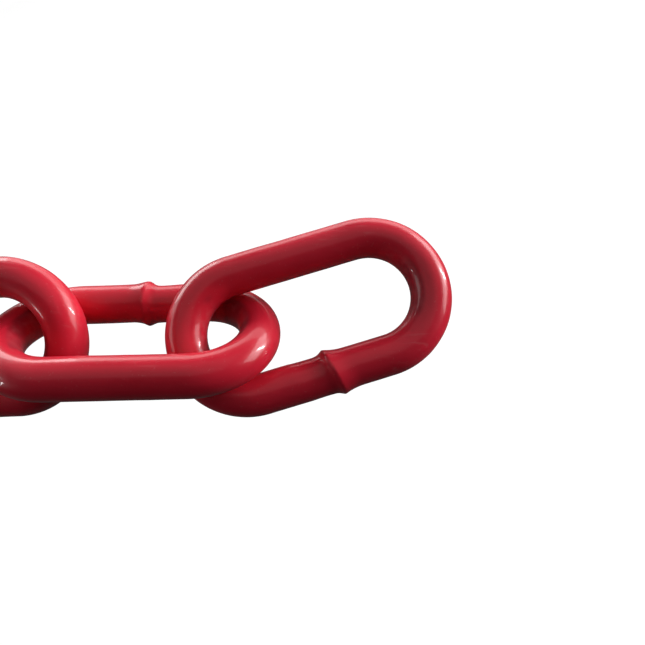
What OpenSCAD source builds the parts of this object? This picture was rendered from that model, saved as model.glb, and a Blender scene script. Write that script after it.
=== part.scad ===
// A length of coated welded chain, laid loosely on a floor. Its free end, link 1, is toward +X.
// Every link is one piece: round steel wire bent to a long oval, butt welded and coated red.
// Units are millimetres, +Z is up, and the floor is Z = 0.

/* [Link] */
// Thickness of the wire with its coating
bar_d = 6; // [4:0.1:8]
// Inside length of a link
eye_length = 30.5; // [20:0.5:50]
// Inside width of a link
eye_width = 12; // [9:0.5:20]

/* [Weld ring] */
// How far the ring stands out of the bar
ring_rise = 0.5; // [0.1:0.05:1]
// Length of the ring along the bar
ring_length = 5; // [2:0.2:8]

/* [Lay of links 1 to 3] */
// Lean of each about its own length, positive with its far side up
lean_first = [23.7, -22.6, 42.4]; // [-90:0.1:90]
// Drop of each one's right-hand end
drop_first = [0.5, 7.1, -0.8]; // [-20:0.1:20]
// Turn of each about the vertical
turn_first = [16, 1.5, -1]; // [-45:0.5:45]
// Middle of each, along the chain from link 1
x_first = [0, -25.4, -53.7]; // [-100:0.1:0]
// Middle of each, across the chain from link 1
y_first = [0, -3.2, -2]; // [-20:0.1:20]
// Height of each one's middle
z_first = [7.12, 9.2, 9.57]; // [5:0.01:15]

/* [Lay of the other links] */
// Lean of every other link, to alternate sides
lean_rest = 40; // [30:1:50]
// Turn from one link to the next
turn_rest = 12; // [0:1:15]
// Distance between the middles of neighbours
step_rest = 29; // [27.5:0.1:30]
// Moves the middle of the laid chain's outline to the origin
to_middle = [64.92, -135.36]; // [-300:0.01:300]

/* [Hidden] */
bar_r = bar_d / 2;
bend_r = eye_width / 2 + bar_r;
half_leg = (eye_length - eye_width) / 2;
rest_z = bend_r * sin(lean_rest) + bar_r + ring_rise;
ring_steps = 16;
$fn = 72;

// Lay of link i: its lean, drop and turn, and its middle
function lean(i) = i <= 3 ? lean_first[i - 1] : i % 2 == 0 ? -lean_rest : lean_rest;
function drop(i) = i <= 3 ? drop_first[i - 1] : 0;
function turn(i) = i <= 3 ? turn_first[i - 1] : turn_first[2] - turn_rest * (i - 3);
function middle(i) = i <= 3
    ? [x_first[i - 1], y_first[i - 1], z_first[i - 1]]
    : after(middle(i - 1), (turn(i) + turn(i - 1)) / 2);
function after(p, heading) =
    [p[0] - step_rest * cos(heading), p[1] - step_rest * sin(heading), rest_z];

// The welds of odd links are on one side, and of even links on the other
function weld_side(i) = i % 2 == 0 ? 1 : -1;

// Half-round end of a link
module bend()
    translate([half_leg, 0, 0]) rotate([0, 0, -90]) rotate_extrude(angle = 180)
        translate([bend_r, 0]) circle(r = bar_r);

// Straight side of a link
module plain_leg()
    rotate([0, 90, 0]) cylinder(r = bar_r, h = 2 * half_leg, center = true);

// Straight side with the ring that butt welding leaves: a round crest between hollow flanks
module welded_leg()
    rotate([0, 90, 0]) rotate_extrude() polygon(concat(
        [[0, -half_leg], [bar_r, -half_leg]],
        [for (k = [0 : ring_steps])
            let (x = ring_length * (k / ring_steps - 0.5))
                [bar_r + ring_rise * pow(cos(180 * x / ring_length), 2), x]],
        [[bar_r, half_leg], [0, half_leg]]));

// Link i, in its place in the laid chain
module link(i)
    translate([to_middle[0], to_middle[1], 0]) translate(middle(i))
        rotate([lean(i), drop(i), turn(i)]) {
            bend();
            rotate([0, 0, 180]) bend();
            translate([0, weld_side(i) * bend_r, 0]) welded_leg();
            translate([0, -weld_side(i) * bend_r, 0]) plain_leg();
        }

// Link 1 is the free end
module link_01() color("firebrick") link(1);
module link_02() color("firebrick") link(2);
module link_03() color("firebrick") link(3);
// The links past the third follow a wide curve
module link_04() color("firebrick") link(4);
module link_05() color("firebrick") link(5);
module link_06() color("firebrick") link(6);
module link_07() color("firebrick") link(7);
module link_08() color("firebrick") link(8);
module link_09() color("firebrick") link(9);
module link_10() color("firebrick") link(10);
module link_11() color("firebrick") link(11);
module link_12() color("firebrick") link(12);
module link_13() color("firebrick") link(13);
module link_14() color("firebrick") link(14);
module link_15() color("firebrick") link(15);
module link_16() color("firebrick") link(16);
module link_17() color("firebrick") link(17);
module link_18() color("firebrick") link(18);
module link_19() color("firebrick") link(19);
module link_20() color("firebrick") link(20);
module link_21() color("firebrick") link(21);
// Link 22 is the other end, where the chain was cut
module link_22() color("firebrick") link(22);

link_01();
link_02();
link_03();
link_04();
link_05();
link_06();
link_07();
link_08();
link_09();
link_10();
link_11();
link_12();
link_13();
link_14();
link_15();
link_16();
link_17();
link_18();
link_19();
link_20();
link_21();
link_22();
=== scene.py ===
import math

import bpy
from mathutils import Euler, Matrix, Vector


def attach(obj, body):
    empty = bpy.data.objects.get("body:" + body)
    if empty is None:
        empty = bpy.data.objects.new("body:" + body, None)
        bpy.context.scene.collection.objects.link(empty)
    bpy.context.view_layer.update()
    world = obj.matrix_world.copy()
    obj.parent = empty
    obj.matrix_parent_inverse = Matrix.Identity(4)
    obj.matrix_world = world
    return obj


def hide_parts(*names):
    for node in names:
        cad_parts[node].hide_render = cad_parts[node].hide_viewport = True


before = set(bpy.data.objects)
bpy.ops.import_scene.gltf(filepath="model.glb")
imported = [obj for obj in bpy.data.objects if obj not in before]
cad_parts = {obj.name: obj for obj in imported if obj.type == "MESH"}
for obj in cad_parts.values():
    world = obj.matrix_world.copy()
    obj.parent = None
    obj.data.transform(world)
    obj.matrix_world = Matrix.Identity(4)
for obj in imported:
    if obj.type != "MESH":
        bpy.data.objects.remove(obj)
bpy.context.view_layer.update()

# ---------------------------------------------------------------------------
# Coated links
# Each link is steel wire, bent to a long oval through the link before it and closed by butt
# welding in the middle of one straight side, which leaves a raised ring. The finished chain
# is coated in glossy red enamel, scuffed a little where the links bear on each other.
# ---------------------------------------------------------------------------
MM = 0.001
BAR_RADIUS = 3.0 * MM
BEND_RADIUS = 9.0 * MM
HALF_STRAIGHT = 9.25 * MM
RING_RISE = 0.5 * MM
CREST_ROUNDING = 0.09 * MM
LINK_COUNT = 22


def socket_of(tree, kind, name, value=None, way="INPUT"):
    """A named input or output of a node tree."""
    made = tree.interface.new_socket(name=name, in_out=way, socket_type="NodeSocket" + kind)
    if value is not None:
        made.default_value = value
    return made


def add(tree, kind, inputs=None, **settings):
    """A node with its settings made and its inputs set or joined up."""
    made = tree.nodes.new(kind)
    for name, value in settings.items():
        setattr(made, name, value)
    for name, value in (inputs or {}).items():
        if isinstance(value, bpy.types.NodeSocket):
            tree.links.new(value, made.inputs[name])
        else:
            made.inputs[name].default_value = value
    return made


def calc(tree, operation, a, b=0.0, c=0.0, clamp=False):
    """The result of a Math node."""
    made = add(tree, "ShaderNodeMath", {0: a, 1: b, 2: c}, operation=operation, use_clamp=clamp)
    return made.outputs[0]


def oval_link_tree():
    """Sweeps a round bar along a closed oval, with the weld ring and the bar's unevenness."""
    circle_points = 258
    crest_power = 1.9
    neck_middle, neck_reach = 2.6 * MM, 2.4 * MM
    step_length, step_gone_by = 0.5 * MM, 8.5 * MM
    tree = bpy.data.node_groups.new("oval_link", "GeometryNodeTree")
    for name, value in (
        ("Bend radius", BEND_RADIUS),
        ("Half straight", HALF_STRAIGHT),
        ("Bar radius", BAR_RADIUS),
        ("Ring rise", RING_RISE),
        ("Steep flank", 1.5 * MM),
        ("Gentle flank", 2.6 * MM),
        ("Weld side", 1.0),
        ("Steep side", 1.0),
        ("Ring place", 0.0),
        ("Ring slant", 0.0),
        ("Ring unevenness", 0.14 * MM),
        ("Neck depth", 0.08 * MM),
        ("Weld step", 0.18 * MM),
        ("Bar unevenness", 0.05 * MM),
        ("Seed", 0.0),
    ):
        socket_of(tree, "Float", name, value)
    socket_of(tree, "Int", "Steps along", 360)
    socket_of(tree, "Int", "Steps round", 64)
    socket_of(tree, "Material", "Finish")
    socket_of(tree, "Geometry", "Geometry", way="OUTPUT")
    given = tree.nodes.new("NodeGroupInput").outputs

    # the centreline: a circle cut in two and drawn apart
    circle = add(
        tree,
        "GeometryNodeCurvePrimitiveCircle",
        {"Resolution": circle_points, "Radius": given["Bend radius"]},
    )
    place = add(tree, "GeometryNodeInputPosition")
    axes = add(tree, "ShaderNodeSeparateXYZ", {0: place.outputs[0]})
    apart = calc(tree, "MULTIPLY", calc(tree, "SIGN", axes.outputs["X"]), given["Half straight"])
    shift = add(tree, "ShaderNodeCombineXYZ", {"X": apart})
    oval = add(
        tree,
        "GeometryNodeSetPosition",
        {"Geometry": circle.outputs[0], "Offset": shift.outputs[0]},
    )
    even = add(
        tree,
        "GeometryNodeResampleCurve",
        {"Curve": oval.outputs[0], "Count": given["Steps along"]},
    )

    profile = add(
        tree,
        "GeometryNodeCurvePrimitiveCircle",
        {"Resolution": given["Steps round"], "Radius": given["Bar radius"]},
    )
    bar = add(
        tree,
        "GeometryNodeCurveToMesh",
        {"Curve": even.outputs[0], "Profile Curve": profile.outputs[0]},
    )

    # distance along the welded side from the crest of the ring, which leans and wanders a little
    wander = add(
        tree,
        "ShaderNodeTexNoise",
        {"Vector": place.outputs[0], "W": given["Seed"], "Scale": 260.0, "Detail": 1.0},
        noise_dimensions="4D",
    )
    stray = calc(tree, "MULTIPLY", calc(tree, "SUBTRACT", wander.outputs[0], 0.5), 6.0)
    along = calc(tree, "SUBTRACT", axes.outputs["X"], given["Ring place"])
    along = calc(tree, "MULTIPLY", along, given["Steep side"])
    outward = calc(tree, "MULTIPLY", axes.outputs["Y"], given["Weld side"])
    outward = calc(tree, "SUBTRACT", outward, given["Bend radius"])
    along = calc(tree, "MULTIPLY_ADD", outward, given["Ring slant"], along)
    along = calc(tree, "ADD", along, calc(tree, "MULTIPLY", stray, given["Ring unevenness"]))
    on_steep = calc(tree, "GREATER_THAN", along, 0.0)
    flank = add(
        tree,
        "ShaderNodeMix",
        {"Factor": on_steep, "A": given["Gentle flank"], "B": given["Steep flank"]},
        data_type="FLOAT",
    ).outputs[0]
    squared = calc(tree, "MULTIPLY", along, along)
    away = calc(tree, "SQRT", calc(tree, "ADD", squared, CREST_ROUNDING**2))
    away = calc(tree, "SUBTRACT", away, CREST_ROUNDING)
    nearness = calc(tree, "SUBTRACT", 1.0, calc(tree, "DIVIDE", away, flank), clamp=True)
    here = calc(tree, "GREATER_THAN", calc(tree, "MULTIPLY", axes.outputs["Y"], given["Weld side"]), 0.0)
    crest = calc(tree, "MULTIPLY", calc(tree, "POWER", nearness, crest_power), here)
    ring = calc(tree, "MULTIPLY", crest, given["Ring rise"])

    # the bar draws in a little beside the steep flank, where it was hottest
    neck_at = calc(tree, "DIVIDE", calc(tree, "SUBTRACT", along, neck_middle), neck_reach)
    neck = calc(tree, "SUBTRACT", 1.0, calc(tree, "MULTIPLY", neck_at, neck_at), clamp=True)
    neck = calc(tree, "MULTIPLY", calc(tree, "MULTIPLY", neck, here), given["Neck depth"])

    waves = add(
        tree,
        "ShaderNodeTexNoise",
        {"Vector": place.outputs[0], "W": given["Seed"], "Scale": 170.0, "Detail": 2.0, "Roughness": 0.45},
        noise_dimensions="4D",
    )
    uneven = calc(tree, "MULTIPLY", calc(tree, "SUBTRACT", waves.outputs[0], 0.5), given["Bar unevenness"])
    rise = calc(tree, "SUBTRACT", calc(tree, "ADD", ring, calc(tree, "MULTIPLY", uneven, 2.0)), neck)

    normal = add(tree, "GeometryNodeInputNormal")
    push = add(tree, "ShaderNodeVectorMath", {0: normal.outputs[0], "Scale": rise}, operation="SCALE")

    # the two wire ends met a little out of line, which dies away toward the bends
    past = calc(tree, "DIVIDE", along, step_length)
    past = calc(tree, "DIVIDE", past, calc(tree, "SQRT", calc(tree, "MULTIPLY_ADD", past, past, 1.0)))
    gone = calc(tree, "DIVIDE", calc(tree, "ABSOLUTE", axes.outputs["X"]), step_gone_by)
    fading = calc(tree, "SUBTRACT", 1.0, gone, clamp=True)
    fading = calc(tree, "MULTIPLY", past, calc(tree, "MULTIPLY", fading, fading))
    step = calc(tree, "MULTIPLY", fading, calc(tree, "MULTIPLY", here, given["Weld step"]))
    sideways = add(
        tree,
        "ShaderNodeCombineXYZ",
        {"Y": calc(tree, "MULTIPLY", step, -0.5), "Z": calc(tree, "MULTIPLY", step, -1.0)},
    )
    moved = add(
        tree,
        "ShaderNodeVectorMath",
        {0: push.outputs[0], 1: sideways.outputs[0]},
        operation="ADD",
    )
    swollen = add(
        tree,
        "GeometryNodeSetPosition",
        {"Geometry": bar.outputs[0], "Offset": moved.outputs[0]},
    )

    # how close a spot is to where the next link bears on the end bend
    reach = calc(tree, "SUBTRACT", calc(tree, "ABSOLUTE", axes.outputs["X"]), given["Half straight"])
    across = calc(tree, "MULTIPLY", axes.outputs["Y"], axes.outputs["Y"])
    from_middle = calc(tree, "SQRT", calc(tree, "MULTIPLY_ADD", reach, reach, across))
    inward = add(
        tree,
        "ShaderNodeMapRange",
        {"Value": from_middle, "From Min": 8.4 * MM, "From Max": 6.2 * MM},
        interpolation_type="SMOOTHERSTEP",
    )
    at_end = add(
        tree,
        "ShaderNodeMapRange",
        {"Value": reach, "From Min": 1.5 * MM, "From Max": 6.0 * MM},
        interpolation_type="SMOOTHERSTEP",
    )
    # this nearness places the scuffs and also the painted shade inside the bends
    rubbed = calc(tree, "MULTIPLY", inward.outputs[0], at_end.outputs[0])
    rub_mark = add(
        tree,
        "GeometryNodeStoreNamedAttribute",
        {"Geometry": swollen.outputs[0], "Name": "rub", "Value": rubbed},
        data_type="FLOAT",
        domain="POINT",
    )
    smooth = add(tree, "GeometryNodeSetShadeSmooth", {"Geometry": rub_mark.outputs[0]})
    real = add(tree, "GeometryNodeRealizeInstances", {0: smooth.outputs[0]})
    finish = add(tree, "GeometryNodeSetMaterial", {"Geometry": real.outputs[0], "Material": given["Finish"]})
    out = tree.nodes.new("NodeGroupOutput")
    tree.links.new(finish.outputs[0], out.inputs[0])
    return tree


link_tree = oval_link_tree()

# how the first three links lie, and then the even curve of the others
FIRST_LEAN = (23.7, -22.6, 42.4)
FIRST_DROP = (0.5, 7.1, -0.8)
FIRST_TURN = (16, 1.5, -1)
FIRST_MIDDLE = ((0, 0, 7.12), (-25.4, -3.2, 9.2), (-53.7, -2.0, 9.57))
LEAN = 40
TURN = 12
STEP = 29.0
TO_MIDDLE = Vector((64.92, -135.36, 0))


def lay_of_links():
    """Where each link lies: its middle, and its lean, drop and turn."""
    lays = []
    for i in range(LINK_COUNT):
        if i < 3:
            middle = Vector(FIRST_MIDDLE[i])
            angles = (FIRST_LEAN[i], FIRST_DROP[i], FIRST_TURN[i])
        else:
            turned = lays[-1][1][2]
            angles = (-LEAN if i % 2 else LEAN, 0, turned - TURN)
            heading = math.radians(turned - TURN / 2)
            middle = lays[-1][0] - STEP * Vector((math.cos(heading), math.sin(heading), 0))
            middle.z = (BEND_RADIUS * math.sin(math.radians(LEAN)) + BAR_RADIUS + RING_RISE) / MM
        lays.append((middle, angles))
    return [
        Matrix.Translation((middle + TO_MIDDLE) * MM)
        @ Euler([math.radians(a) for a in angles], "XYZ").to_matrix().to_4x4()
        for middle, angles in lays
    ]


LAYS = lay_of_links()


def make_link(name, i, finish, **sizes):
    """One link's bar, made by the node tree, turned into a plain mesh and laid in its place."""
    holder = bpy.data.objects.new(name + "_tree", bpy.data.meshes.new(name + "_tree"))
    bpy.context.scene.collection.objects.link(holder)
    modifier = holder.modifiers.new("link", "NODES")
    modifier.node_group = link_tree
    sizes.update({"Weld side": 1.0 if i % 2 else -1.0, "Seed": 3.7 * i, "Finish": finish})
    for item in link_tree.interface.items_tree:
        if item.in_out == "INPUT" and item.name in sizes:
            modifier[item.identifier] = sizes[item.name]
    bpy.context.view_layer.update()
    evaluated = holder.evaluated_get(bpy.context.evaluated_depsgraph_get())
    piece = bpy.data.objects.new(name, bpy.data.meshes.new_from_object(evaluated))
    bpy.data.objects.remove(holder)
    bpy.context.scene.collection.objects.link(piece)
    piece.data.transform(LAYS[i])
    return piece


enamel = bpy.data.materials.new("red_enamel")
enamel.use_nodes = True
nodes = enamel.node_tree
gloss = nodes.nodes["Principled BSDF"]
where = add(nodes, "ShaderNodeTexCoord").outputs["Object"]


def grain(scale, detail=2.0, roughness=0.5, stretch=None):
    """Noise of so many waves to the metre, drawn out where a stretch is given."""
    at = where
    if stretch:
        drawn_out = {"Vector": where, "Rotation": (0.3, 0.2, 0.5), "Scale": stretch}
        at = add(nodes, "ShaderNodeMapping", drawn_out).outputs[0]
    return add(
        nodes, "ShaderNodeTexNoise", {"Vector": at, "Scale": scale, "Detail": detail, "Roughness": roughness}
    ).outputs[0]


def spread(value, low, high, to_low=0.0, to_high=1.0):
    """A value eased from one range to another."""
    return add(
        nodes,
        "ShaderNodeMapRange",
        {"Value": value, "From Min": low, "From Max": high, "To Min": to_low, "To Max": to_high},
        interpolation_type="SMOOTHSTEP",
    ).outputs[0]


clouds = grain(110.0, detail=3.0)
peel = grain(620.0)
dust = spread(grain(2600.0, detail=1.0), 0.68, 0.76)
scratches = spread(grain(1.0, detail=3.0, stretch=(260.0, 2400.0, 900.0)), 0.54, 0.68)
scuffed = calc(nodes, "MULTIPLY", scratches, spread(grain(85.0), 0.54, 0.7))
bend_inside = add(nodes, "ShaderNodeAttribute", attribute_name="rub").outputs["Fac"]
rub = calc(nodes, "MULTIPLY", spread(bend_inside, 0.15, 0.9), spread(grain(900.0, detail=3.0), 0.4, 0.65))
# painted shade: the base colour is darkened in patches inside the end bends, where the next link sits,
# standing in for the shade there
painted_bend_shade = calc(nodes, "MULTIPLY", spread(bend_inside, 0.0, 0.5), spread(grain(130.0), 0.4, 0.62))
dulled = calc(nodes, "MAXIMUM", calc(nodes, "MAXIMUM", scuffed, rub), dust)

hue = add(nodes, "ShaderNodeValToRGB", {"Fac": clouds})
hue.color_ramp.elements[0].position = 0.3
hue.color_ramp.elements[0].color = (0.72, 0.017, 0.04, 1)
hue.color_ramp.elements[1].position = 0.72
hue.color_ramp.elements[1].color = (0.82, 0.021, 0.05, 1)
# the painted shade mixes the red toward a deep, near-black red
bend_shaded = add(
    nodes,
    "ShaderNodeMix",
    {"Factor": calc(nodes, "MULTIPLY", painted_bend_shade, 0.6), "A": hue.outputs["Color"], "B": (0.17, 0.01, 0.02, 1)},
    data_type="RGBA",
)
hazed = add(
    nodes,
    "ShaderNodeMix",
    {"Factor": calc(nodes, "MULTIPLY", dulled, 0.08), "A": bend_shaded.outputs[2], "B": (0.8, 0.36, 0.36, 1)},
    data_type="RGBA",
)
nodes.links.new(hazed.outputs[2], gloss.inputs["Base Color"])
rough = calc(nodes, "MULTIPLY_ADD", dulled, 0.2, spread(clouds, 0.3, 0.7, 0.29, 0.38))
nodes.links.new(rough, gloss.inputs["Roughness"])
relief = calc(nodes, "MULTIPLY_ADD", scuffed, -0.15, peel)
skin_bump = add(nodes, "ShaderNodeBump", {"Height": relief, "Strength": 0.3, "Distance": 0.00004})
nodes.links.new(skin_bump.outputs[0], gloss.inputs["Normal"])
nodes.links.new(skin_bump.outputs[0], gloss.inputs["Coat Normal"])
gloss.inputs["IOR"].default_value = 1.5
gloss.inputs["Specular IOR Level"].default_value = 0.3
gloss.inputs["Coat Weight"].default_value = 0.45
gloss.inputs["Coat Roughness"].default_value = 0.08

# how far each weld is off the middle and out of square, over and over down the chain
RING_PLACES = (0.9 * MM, 0.35 * MM, -0.4 * MM, 0.2 * MM, -0.7 * MM)
RING_SLANTS = (0.3, -0.12, 0.1, -0.08, 0.15)

for i in range(LINK_COUNT):
    node = f"link_{i + 1:02d}"
    weld = {
        "Steep side": 1.0 if i % 2 else -1.0,
        "Ring place": RING_PLACES[i % len(RING_PLACES)],
        "Ring slant": RING_SLANTS[i % len(RING_SLANTS)],
    }
    link = make_link(f"coated_{node}", i, enamel, **weld)
    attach(link, node)
    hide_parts(node)

# ---------------------------------------------------------------------------
# Board and backdrop
# The chain lies with nothing drawn under it, well above a wide white board and in front of a white backdrop,
# so that hardly any shadow shows. Neither throws light on the chain: what the enamel picks up
# from below is a grey card at the board's height, and a paler card at the chain's height behind it.
# ---------------------------------------------------------------------------
FLOOR_HALF = 4.0
BOARD_DEPTH = -0.3
ONE_FACE = [(0, 1, 2, 3)]


def stage_sheet(name, corners, faces, colour, glow, seen_by_lens):
    """A sheet of the stage, which either the lens sees or the chain picks up."""
    card = bpy.data.materials.new(name)
    card.use_nodes = True
    face = card.node_tree.nodes["Principled BSDF"]
    face.inputs["Base Color"].default_value = (*colour, 1)
    face.inputs["Roughness"].default_value = 0.9
    face.inputs["Emission Color"].default_value = (1, 1, 1, 1)
    face.inputs["Emission Strength"].default_value = glow
    mesh = bpy.data.meshes.new(name)
    mesh.from_pydata(corners, [], faces)
    mesh.materials.append(card)
    made = bpy.data.objects.new(name, mesh)
    made.visible_camera = seen_by_lens
    made.visible_diffuse = not seen_by_lens
    made.visible_glossy = not seen_by_lens
    made.visible_transmission = not seen_by_lens
    made.visible_shadow = False
    bpy.context.scene.collection.objects.link(made)


def square(half, z):
    """The corners of a level square."""
    return [(-half, -half, z), (half, -half, z), (half, half, z), (-half, half, z)]


stage_sheet("white_board", square(FLOOR_HALF, BOARD_DEPTH), ONE_FACE, (0.2, 0.2, 0.2), 0.94, True)
stage_sheet("grey_card", square(FLOOR_HALF, BOARD_DEPTH), ONE_FACE, (0.05, 0.05, 0.05), 0.0, False)
behind = LAYS[0].translation.y + 0.05
pale_corners = [(-0.6, behind, 0), (0.8, behind, 0), (0.8, behind + 1.2, 0), (-0.6, behind + 1.2, 0)]
stage_sheet("pale_card", pale_corners, ONE_FACE, (0.5, 0.5, 0.5), 0.5, False)
stage_sheet(
    "backdrop",
    square(FLOOR_HALF, BOARD_DEPTH - 0.1) + square(FLOOR_HALF, 3.0),
    [(0, 1, 5, 4), (1, 2, 6, 5), (2, 3, 7, 6), (3, 0, 4, 7), (4, 5, 6, 7)],
    (0, 0, 0),
    0.95,
    True,
)

# ---------------------------------------------------------------------------
# Studio light
# Soft boxes stand low round the free end, all above the level the chain lies at. The right one is the key,
# with a bright core that draws the streaks on the bends; those behind light the backs of the bars,
# and a wide weak panel overhead fills in.
# ---------------------------------------------------------------------------
room = bpy.data.worlds.new("dim_room")
bpy.context.scene.world = room
room.use_nodes = True
room.node_tree.nodes["Background"].inputs["Color"].default_value = (1, 1, 1, 1)
room.node_tree.nodes["Background"].inputs["Strength"].default_value = 0.025
FREE_END = LAYS[0].translation


def soft_box(name, turn, height, distance, size, power):
    """A rectangular soft light that faces the free end, turned from +X and raised by degrees."""
    light = bpy.data.lights.new(name, "AREA")
    light.shape = "RECTANGLE"
    light.size, light.size_y = size
    light.energy = power
    made = bpy.data.objects.new(name, light)
    away = Euler((0, -math.radians(height), math.radians(turn))).to_matrix() @ Vector((distance, 0, 0))
    made.location = FREE_END + away
    made.rotation_euler = (-away).to_track_quat("-Z", "Y").to_euler()
    bpy.context.scene.collection.objects.link(made)


soft_box("right_panel", 22, 14, 0.5, (0.55, 0.24), 1.75)
soft_box("right_core", 21, 9, 0.48, (0.03, 0.14), 0.9)
soft_box("left_strip", -155, 9, 0.5, (0.012, 0.1), 0.09)
soft_box("left_panel", 176, 15, 0.6, (0.5, 0.3), 0.8)
soft_box("back_panel", 78, 13, 0.9, (1.5, 0.39), 4.2)
soft_box("back_left_panel", 134, 14, 0.8, (0.5, 0.32), 2.6)
soft_box("top_panel", 90, 85, 1.2, (2.0, 1.5), 2.8)

# ---------------------------------------------------------------------------
# Camera
# It stands close in front of the free end and looks down on it, so the free end fills most
# of the view and the rest of the chain runs out of it to the left.
# ---------------------------------------------------------------------------
camera = bpy.data.objects.new("camera", bpy.data.cameras.new("camera"))
bpy.context.scene.collection.objects.link(camera)
bpy.context.scene.camera = camera
camera.data.lens = 31.2
camera.data.sensor_width = 36
camera.data.clip_start = 0.002
place = Vector((75.12, -180.26, 74.5)) * MM
view = Vector((-0.103, 0.539, -0.836)).normalized()
up = Vector((0.066, 0.842, 0.535))
side = view.cross(up).normalized()
up = side.cross(view)
turned = Matrix((side, up, -view)).transposed().to_4x4()
camera.matrix_world = Matrix.Translation(place) @ turned
bpy.context.scene.view_settings.view_transform = "Standard"
